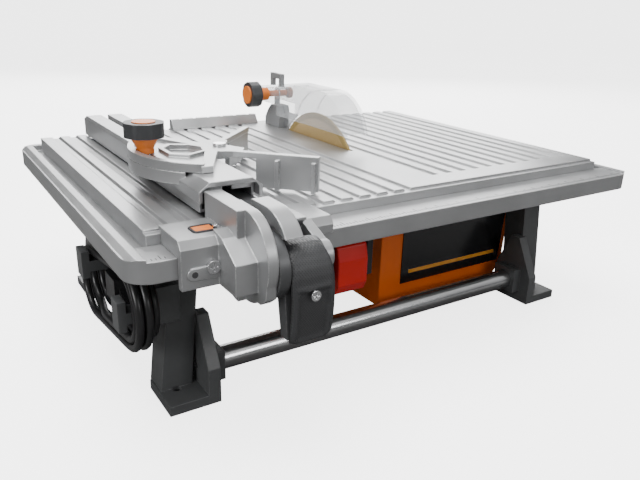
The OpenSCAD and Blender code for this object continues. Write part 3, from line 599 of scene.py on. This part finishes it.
def round_outline(width: float, depth: float, radius: float, steps: int = 5) -> np.ndarray:
    """Return a rounded rectangle's points, counter-clockwise round the origin."""
    turn = np.linspace(0.0, math.pi / 2, steps)
    corner = np.stack([np.cos(turn), np.sin(turn)], axis=1) * radius
    parts = []
    for k, (sx, sy) in enumerate([(1, 1), (-1, 1), (-1, -1), (1, -1)]):
        a = k * math.pi / 2
        rotation = np.array([[math.cos(a), math.sin(a)], [-math.sin(a), math.cos(a)]])
        middle = np.array([sx * (width / 2 - radius), sy * (depth / 2 - radius)])
        parts.append(corner @ rotation + middle)
    return np.concatenate(parts)


def low_slabs(centres: np.ndarray, sizes: np.ndarray, height: float) -> Tuple[np.ndarray,
                                                                             np.ndarray]:
    """Make many low slabs at once, each drawn in a little towards its top.

    Args:
        centres: the middle of each slab's underside, one row each.
        sizes: each slab's width and depth.
        height: their common height.

    Returns:
        All their points and all their faces.
    """
    sign = np.array([[-1, -1], [1, -1], [1, 1], [-1, 1]]) / 2
    low = np.concatenate([sign, np.zeros((4, 1))], axis=1)
    high = np.concatenate([sign * 0.94, np.ones((4, 1))], axis=1)
    unit = np.concatenate([low, high])
    scale = np.concatenate([sizes, np.full((len(sizes), 1), height)], axis=1)
    points = centres[:, None, :] + unit[None] * scale[:, None, :]
    faces = np.array([[3, 2, 1, 0], [4, 5, 6, 7], [0, 1, 5, 4], [1, 2, 6, 5], [2, 3, 7, 6],
                      [3, 0, 4, 7]])
    every = faces[None] + 8 * np.arange(len(centres))[:, None, None]
    return points.reshape(-1, 3), every.reshape(-1, 4)


def smoothstep(x: np.ndarray, low: float, high: float) -> np.ndarray:
    """Return 3t^2 - 2t^3 with t going from 0 at low to 1 at high."""
    t = np.clip((x - low) / (high - low), 0.0, 1.0)
    return t * t * (3 - 2 * t)


def resample(path: np.ndarray, count: int) -> np.ndarray:
    """Return count points spaced evenly along a path of straight runs."""
    steps = np.linalg.norm(np.diff(path, axis=0), axis=1)
    along = np.concatenate([[0.0], np.cumsum(steps)])
    at = np.linspace(0.0, along[-1], count)
    return np.stack([np.interp(at, along, path[:, k]) for k in range(path.shape[1])], axis=1)


# ---------------------------------------------------------------- sub-assemblies


@dataclass
class MainsLead:
    """Lead from its gland, under the table to the hooks, wound there, to its plug."""

    diameter: float = 7.0
    front: Tuple[float, float] = (-126.0, 95.0)
    back: Tuple[float, float] = (-20.0, 79.0)
    outer: float = 35.4
    inner: float = 28.0
    left: float = -260.3
    middle: float = -253.0
    right: float = -245.7
    turns: int = 4
    last_part: float = 0.395
    start_part: float = 34 / 106
    steps: int = 48

    def under_table(self) -> np.ndarray:
        """Return the route from the strain relief to the first turn."""
        return np.array([
            [18, 96, 122], [-12, 96, 122], [-30, 95, 125], [-50, 92, 132], [-72, 88, 140],
            [-94, 84, 145], [-116, 78, 146], [-140, 70, 146], [-164, 60, 146],
            [-186, 48, 143], [-206, 34, 138], [-222, 20, 133], [-237, 4, 129],
            [-247, -14, 126], [-252, -34, 122]], dtype=float)

    def wound(self) -> np.ndarray:
        """Return the turns round the two hooks.

        Along a turn, the middle of the loop runs along the line through the two
        ends, and each point stands a radius off it: two straight runs and two half
        circles. The radius and the sideways place step to the next slot, smoothly,
        each a little after the turn above it.
        """
        slots_x = [self.middle, self.left, self.left, self.middle, self.right]
        slots_r = [self.outer, self.outer, self.inner, self.inner, self.inner]
        a, b = np.array(self.front), np.array(self.back)
        run = np.linalg.norm(b - a)
        ahead = (a - b) / run
        up = np.array([ahead[1], -ahead[0]])
        mean = (self.outer + self.inner) / 2
        whole = 2 * run + 2 * math.pi * mean
        total = self.turns + self.last_part
        t = np.linspace(0.02, total, int(self.steps * total))
        s = np.mod(self.start_part * run + t * whole, whole)
        half = math.pi * mean
        on_top = s < run
        front = (s >= run) & (s < run + half)
        under = (s >= run + half) & (s < 2 * run + half)
        angle = np.select([on_top, front, under], [0 * s, (s - run) / mean, 0 * s + math.pi],
                          math.pi + (s - 2 * run - half) / mean)
        centre = np.select(
            [on_top[:, None], front[:, None], under[:, None]],
            [b + ahead * s[:, None], a + 0 * s[:, None],
             a - ahead * (s - run - half)[:, None]], b + 0 * s[:, None])
        turn = np.floor(t).astype(int)
        part = t - turn
        x = np.zeros_like(t)
        r = np.zeros_like(t)
        for k in range(self.turns + 1):
            here = turn == k
            low = 0.84 - 0.13 * k
            share = smoothstep(part, low, low + 0.13)
            nxt = min(k + 1, self.turns)
            x = np.where(here, slots_x[k] + (slots_x[nxt] - slots_x[k]) * share, x)
            r = np.where(here, slots_r[k] + (slots_r[nxt] - slots_r[k]) * share, r)
        out = np.cos(angle)[:, None] * up + np.sin(angle)[:, None] * ahead
        flat = centre + out * r[:, None]
        return np.column_stack([x, flat])

    def route(self) -> np.ndarray:
        """Return the whole route in millimetres, the last points in the plug's boot."""
        end = np.array([[self.right, -95, 65.6], [self.right, -89, 69.4], [self.right, -80, 75]])
        return np.concatenate([self.under_table(), self.wound(), end])

    def build(self) -> None:
        points = self.route()
        curve = bpy.data.curves.new("mains_lead", "CURVE")
        curve.dimensions = "3D"
        spline = curve.splines.new("NURBS")
        spline.points.add(len(points) - 1)
        rows = np.column_stack([points * MM, np.ones(len(points))]).astype(np.float32)
        spline.points.foreach_set("co", rows.ravel())
        spline.order_u = 3
        spline.use_endpoint_u = True
        spline.resolution_u = 3
        curve.bevel_depth = self.diameter / 2 * MM
        curve.bevel_resolution = 3
        curve.use_fill_caps = True
        lead = stand("mains_lead", curve)
        curve.materials.append(SHOP.material(PAINT.cord))
        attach(lead, Body.FRAME.value)
        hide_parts("cord_lead", "cord_winding")


@dataclass
class ClampGrip:
    """Moulded grip on the cam lever: a bowed plate with a sunk, framed lower panel."""

    pin_y: float = -229.0
    pin_z: float = 153.0
    middle_x: float = -164.7
    bow: float = 1.8
    panel_depth: float = 2.4
    neck_depth: float = 0.5
    thickness: float = 4.6
    rows: int = 120
    across: int = 41

    def build(self) -> None:
        """Make the grip.

        The outer face follows a line down the lever's front. Across it, the face
        drops by bow |v|^6 towards its sides, by the panel's depth inside the lower
        panel and by the neck's inside the upper one; the inner face is flat across.
        """
        line = np.array([[-1, 17.3], [-6, 17.4], [-10.6, 16.6], [-15, 14.4], [-18.6, 11.4],
                         [-22, 7], [-24.4, 1.6], [-25.7, -4.6], [-26.3, -12], [-26.6, -20],
                         [-26.4, -32], [-25.6, -44], [-24.6, -52], [-22.4, -55.6],
                         [-18.6, -57.6], [-14, -58]], dtype=float)
        line = resample(line, self.rows)
        slope = np.gradient(line, axis=0)
        slope /= np.linalg.norm(slope, axis=1, keepdims=True)
        out = np.column_stack([slope[:, 1], -slope[:, 0]])
        u = np.linspace(0.0, 1.0, self.rows)
        half = (13.6 + 3.6 * smoothstep(u, 0.02, 0.42) - 1.4 * smoothstep(u, 0.78, 1.0)
                - 2.2 * smoothstep(u, 0.93, 1.0))
        lean = 1.4 * smoothstep(u, 0.1, 0.6) - 1.0 * smoothstep(u, 0.6, 1.0)
        v = np.sin(np.linspace(-math.pi / 2, math.pi / 2, self.across))
        uu, vv = np.meshgrid(u, v, indexing="ij")
        panel = (smoothstep(uu, 0.475, 0.50) * (1 - smoothstep(uu, 0.865, 0.905))
                 * smoothstep(vv, -0.80, -0.66) * (1 - smoothstep(vv, 0.66, 0.80)))
        neck = smoothstep(uu, 0.16, 0.24) * (1 - smoothstep(uu, 0.43, 0.465))
        neck = neck * smoothstep(vv, -0.86, -0.76) * (1 - smoothstep(vv, 0.76, 0.86))
        face = -self.bow * np.abs(vv) ** 6 - self.panel_depth * panel - self.neck_depth * neck
        back = np.full_like(face, -self.thickness)
        heights = np.concatenate([face, back], axis=1)
        places = np.concatenate([vv, vv[:, ::-1]], axis=1)
        x = self.middle_x + lean[:, None] + half[:, None] * places
        y = self.pin_y + line[:, :1] + out[:, :1] * heights
        z = self.pin_z + line[:, 1:] + out[:, 1:] * heights
        rings = np.stack([x, y, z], axis=-1)
        points, faces = sweep(rings)
        grip = piece("lever_grip_shell", points, faces, PAINT.grip, Body.LEVER, SMOOTH)
        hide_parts("lever_grip")


@dataclass
class RimScale:
    """Inch scale on the front rim: a row of thin ticks, longer at whole and half inches."""

    first: float = -262.0
    last: float = 262.0
    front_y: float = -202.0
    top: float = 160.0
    gap_from: float = -248.0
    gap_to: float = -119.0
    step: float = 25.4 / 8
    inset: float = 1.5
    width: float = 0.7
    height: float = 0.12
    lengths: Tuple[float, float, float] = (7.5, 5.5, 3.4)

    def build(self) -> None:
        """Make all the ticks as one piece."""
        count = np.arange(math.ceil(self.first / self.step), math.floor(self.last / self.step) + 1)
        x = count * self.step
        keep = (x < self.gap_from) | (x > self.gap_to)
        x, count = x[keep], count[keep]
        whole, half, eighth = self.lengths
        length = np.where(count % 8 == 0, whole, np.where(count % 4 == 0, half, eighth))
        y = self.front_y + self.inset + length / 2
        centres = np.column_stack([x, y, np.full(len(x), self.top)])
        sizes = np.column_stack([np.full(len(x), self.width), length])
        points, faces = low_slabs(centres, sizes, self.height)
        piece("rim_scale", points, faces, PAINT.ink_and_shade, Body.FRAME)


@dataclass
class TankDress:
    """Line on the label, and the bead under the tank's rim."""

    seam_z: float = 137.0
    bead: float = 0.9
    line_inset: float = 24.0
    line_height: float = 4.2
    line_up: float = 13.0

    def build(self) -> None:
        """Make the line and the bead."""
        low, high = node_box("label_plate")
        self.line(low, high)
        self.seam()

    def seam(self) -> None:
        """Run a bead along the tank's front under its rim: a half circle carried along X."""
        low, high = node_box("water_tank")
        turn = np.linspace(0, 2 * math.pi, 12, endpoint=False)
        x = np.linspace(low[0] + 8.4, high[0] - 8.2, 40)
        bow = self.bead * np.sqrt(np.clip(1 - ((x - x.mean()) / (x[-1] - x[0]) * 2) ** 8, 0.02, 1))
        front = node_box("label_plate")[1][1]
        y = front + 0.1 - np.cos(turn)[None] * bow[:, None]
        z = self.seam_z + np.sin(turn)[None] * bow[:, None]
        rings = np.stack([np.broadcast_to(x[:, None], y.shape), y, z], axis=-1)
        points, faces = sweep(rings[:, ::-1])
        piece("tank_seam", points, faces, PAINT.tank, Body.FRAME, 60)

    def line(self, low: np.ndarray, high: np.ndarray) -> None:
        """Lay a thin gold line near the label's foot, as long as the label is wide."""
        outline = round_outline(high[0] - low[0] - self.line_inset, self.line_height, 1.0)
        rings = cushion_rings(outline, 0.35, 0.2)
        flat = rings.reshape(-1, 3)
        points = np.column_stack([
            (low[0] + high[0]) / 2 - 2 + flat[:, 0], low[1] - flat[:, 2],
            low[2] + self.line_up + flat[:, 1]])
        _, faces = sweep(rings)
        piece("label_line", points, faces, PAINT.gold_line, Body.FRAME, SMOOTH)


@dataclass
class HeadDress:
    """Embossed tab with a black disc as painted shade for its hole, and the pointer's window, on
    the clamp head.
    """

    left: float = -240.0
    right: float = -212.5
    front: float = -210.4
    low: float = 143.2
    high: float = 153.4
    raised: float = 1.5
    eye_in: float = 5.4
    eye_r: float = 2.3

    def build(self) -> None:
        """Make the tab, its eye and the window's frame."""
        self.tab()
        self.eye()
        self.window()

    def tab(self) -> None:
        """Raise a half-round ended tab on the flange's front face."""
        radius = (self.high - self.low) / 2
        turn = np.linspace(math.pi / 2, 3 * math.pi / 2, 17)
        middle = np.array([self.left + radius, (self.low + self.high) / 2])
        bend = middle + radius * np.stack([np.cos(turn), np.sin(turn)], axis=1)
        outline = np.concatenate([bend, [[self.right, self.low], [self.right, self.high]]])
        rings = cushion_rings(outline, self.raised, 0.8)
        flat = rings.reshape(-1, 3)
        points = np.column_stack([flat[:, 0], self.front - flat[:, 2], flat[:, 1]])
        _, faces = sweep(rings)
        piece("head_tab", points, faces, PAINT.apron, Body.FENCE, SMOOTH)

    def eye(self) -> None:
        """Set a black disc in the tab as painted shade for its hole: two rings and a near point.
        """
        middle = np.array([self.left + self.eye_in, (self.low + self.high) / 2])
        turn = np.linspace(0, 2 * math.pi, 28, endpoint=False)
        circle = np.stack([np.cos(turn), np.sin(turn)], axis=1)
        radii = np.array([self.eye_r, self.eye_r, 0.02])
        depth = np.array([1.3, 1.62, 1.62])
        flat = middle + circle[None] * radii[:, None, None]
        points = np.stack([flat[..., 0], np.broadcast_to(
            self.front - depth[:, None], flat.shape[:2]), flat[..., 1]], axis=-1)
        points, faces = sweep(points)
        piece("head_hole_shade", points, faces, PAINT.ink_and_shade, Body.FENCE, SMOOTH)

    def window(self) -> None:
        """Frame the scale window with a low rounded rim, a loop round its outline."""
        low, high = node_box("fence_pointer")
        middle = (low + high) / 2
        size = high - low
        loops = []
        for grow, up in [(2.6, 0.0), (2.6, 0.8), (2.1, 1.3), (0.9, 1.3), (0.4, 0.8), (0.4, 0.0)]:
            outline = round_outline(size[0] + 2 * grow, size[1] + 2 * grow, 1.2 + grow)
            loops.append(np.column_stack([outline + middle[:2],
                                          np.full(len(outline), high[2] - 0.9 + up)]))
        points, faces = hoop(np.stack(loops))
        piece("window_frame", points, faces, PAINT.black, Body.FENCE, SMOOTH)


@dataclass
class BladeRim:
    """Gritty rim of the blade: a ring turned round the arbor, a little thicker."""

    inner: float = 81.5
    outer: float = 89.2
    half: float = 1.25

    def build(self) -> None:
        """Make the rim: its section, a rounded rectangle, is carried round the arbor."""
        low, high = node_box("blade")
        middle = (low + high) / 2
        section = round_outline(self.outer - self.inner, 2 * self.half, 0.5, 3)
        section = section + np.array([(self.outer + self.inner) / 2, 0.0])
        turn = np.linspace(0, 2 * math.pi, 160, endpoint=False)
        radius, side = section[:, 0], section[:, 1]
        y = middle[1] + np.cos(turn)[:, None] * radius
        z = middle[2] + np.sin(turn)[:, None] * radius
        x = np.broadcast_to(middle[0] + side, y.shape)
        points, faces = hoop(np.stack([x, y, z], axis=-1))
        piece("blade_rim", points, faces, PAINT.blade, Body.SPINDLE, SMOOTH)


class Deck:
    """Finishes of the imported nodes."""

    @staticmethod
    def dress() -> None:
        """Give every node its finish in each of its material slots."""
        for name, finish in NODE_FINISH.items():
            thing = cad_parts[name]
            material = SHOP.material(finish)
            if not thing.material_slots:
                thing.data.materials.append(material)
            for slot in thing.material_slots:
                slot.material = material
            LOG.info("%s: %s", name, finish.name)


@dataclass
class Studio:
    """Camera, pale floor, soft lights and the sky that the metal reflects."""

    eye: Tuple[float, float, float] = (-388.147, -602.498, 328.677)
    heading: float = -33.1644
    pitch: float = 20.2673
    roll: float = 1.689
    lens: float = 36.604
    sensor: float = 36.0
    glow: float = 3.4
    dull: Colour = (0.15, 0.15, 0.15)
    sky_strength: float = 0.75
    sky_stops: Tuple[Tuple[float, Colour], ...] = (
        (0.0, (0.10, 0.10, 0.105)), (0.75, (1.0, 1.0, 1.0)))

    def camera(self) -> None:
        """Stand the camera where the view was taken from."""
        a, e, r = (math.radians(v) for v in (self.heading, self.pitch, self.roll))
        ahead = Vector((-math.sin(a) * math.cos(e), math.cos(a) * math.cos(e), -math.sin(e)))
        right = ahead.cross(Vector((0, 0, 1))).normalized()
        up = right.cross(ahead)
        right, up = (math.cos(r) * right + math.sin(r) * up,
                     math.cos(r) * up - math.sin(r) * right)
        matrix = Matrix([right, up, -ahead]).transposed().to_4x4()
        matrix.translation = Vector(self.eye) * MM
        data = bpy.data.cameras.new("camera")
        data.lens = self.lens
        data.sensor_width = self.sensor
        data.clip_start = 0.01
        thing = stand("camera", data)
        thing.matrix_world = matrix
        bpy.context.scene.camera = thing

    def light(self, name: str, place: Tuple[float, float, float], size: Tuple[float, float],
              power: float, aim: Tuple[float, float, float] = (0.0, 0.0, 0.12)) -> None:
        """Hang a rectangular soft light that faces aim, in metres and watts."""
        data = bpy.data.lights.new(name, "AREA")
        data.shape = "RECTANGLE"
        data.size, data.size_y = size
        data.energy = power
        thing = stand(name, data)
        thing.location = place
        thing.rotation_euler = (Vector(aim) - Vector(place)).to_track_quat("-Z", "Y").to_euler()

    def floor(self) -> None:
        """Lay a floor that curves up into a backdrop: y runs back, then bends upwards."""
        turn = np.linspace(0, math.pi / 2, 24)
        y = np.concatenate([[-4.0, 0.0], 3.2 + 1.2 * np.sin(turn), [4.4]])
        z = np.concatenate([[0.0, 0.0], 1.2 - 1.2 * np.cos(turn), [4.5]])
        x = np.array([-7.0, 7.0])
        points = np.stack([np.repeat(x[None], len(y), 0), np.repeat(y[:, None], 2, 1),
                           np.repeat(z[:, None], 2, 1)], axis=-1).reshape(-1, 3)
        mesh = bpy.data.meshes.new("floor")
        mesh.from_pydata(points.tolist(), [], grid_faces(len(y), 2, False).tolist())
        mesh.shade_smooth()
        thing = stand("floor", mesh)
        graph = Graph("floor_paper")
        clouds = graph.noise(graph.place(), 3.0, 2.0).span(0.3, 0.7)
        graph.feed("Base Color", graph.mix(clouds, (0.9, 0.9, 0.9, 1), (0.93, 0.93, 0.93, 1)))
        graph.feed("Roughness", clouds * 0.1 + 0.75)
        graph.shader.inputs["Specular IOR Level"].default_value = 0.1
        glow = graph.node("ShaderNodeEmission", {}, {"Color": (1, 1, 1, 1), "Strength": self.glow})
        bright = graph.node("ShaderNodeAddShader", {}, {0: graph.shader.outputs[0],
                                                        1: glow.outputs[0]})
        dull = graph.node("ShaderNodeBsdfDiffuse", {}, {"Color": (*self.dull, 1.0)})
        ray = graph.node("ShaderNodeLightPath", {}, {})
        paper = graph.node("ShaderNodeMixShader", {}, {
            0: ray.outputs["Is Camera Ray"], 1: dull.outputs[0], 2: bright.outputs[0]})
        graph.tree.links.new(paper.outputs[0], graph.output.inputs[0])
        mesh.materials.append(graph.material)

    def sky(self) -> None:
        """Light the world: bright overhead, grey to the sides."""
        world = bpy.data.worlds.new("studio")
        bpy.context.scene.world = world
        nodes = Nodes(world)
        place = nodes.node("ShaderNodeTexCoord", {}, {})
        part = nodes.node("ShaderNodeSeparateXYZ", {}, {0: place.outputs["Generated"]})
        ramp = nodes.node("ShaderNodeValToRGB", {"stops": self.sky_stops}, {0: part.outputs[2]})
        glow = nodes.node("ShaderNodeBackground", {},
                          {"Color": ramp.outputs[0], "Strength": self.sky_strength})
        nodes.node("ShaderNodeOutputWorld", {}, {0: glow.outputs[0]})

    def build(self) -> None:
        """Set up the floor, the sky and the lights."""
        self.floor()
        self.sky()
        self.light("key", (-0.35, -0.1, 1.7), (1.3, 1.1), 33.0)
        self.light("side", (-1.9, -0.7, 0.8), (0.8, 0.6), 13.0)
        self.light("front", (0.7, -2.1, 0.9), (0.9, 0.5), 9.0)
        self.light("back", (0.9, 1.7, 1.0), (2.2, 1.1), 46.0)


def main() -> None:
    """Build every part of the scene in order."""
    logging.basicConfig(level=logging.INFO, format="%(name)s %(message)s")
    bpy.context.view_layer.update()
    studio = Studio()
    studio.camera()
    MainsLead().build()
    Deck.dress()
    ClampGrip().build()
    RimScale().build()
    TankDress().build()
    HeadDress().build()
    BladeRim().build()
    studio.build()


if __name__ == "__main__":
    main()
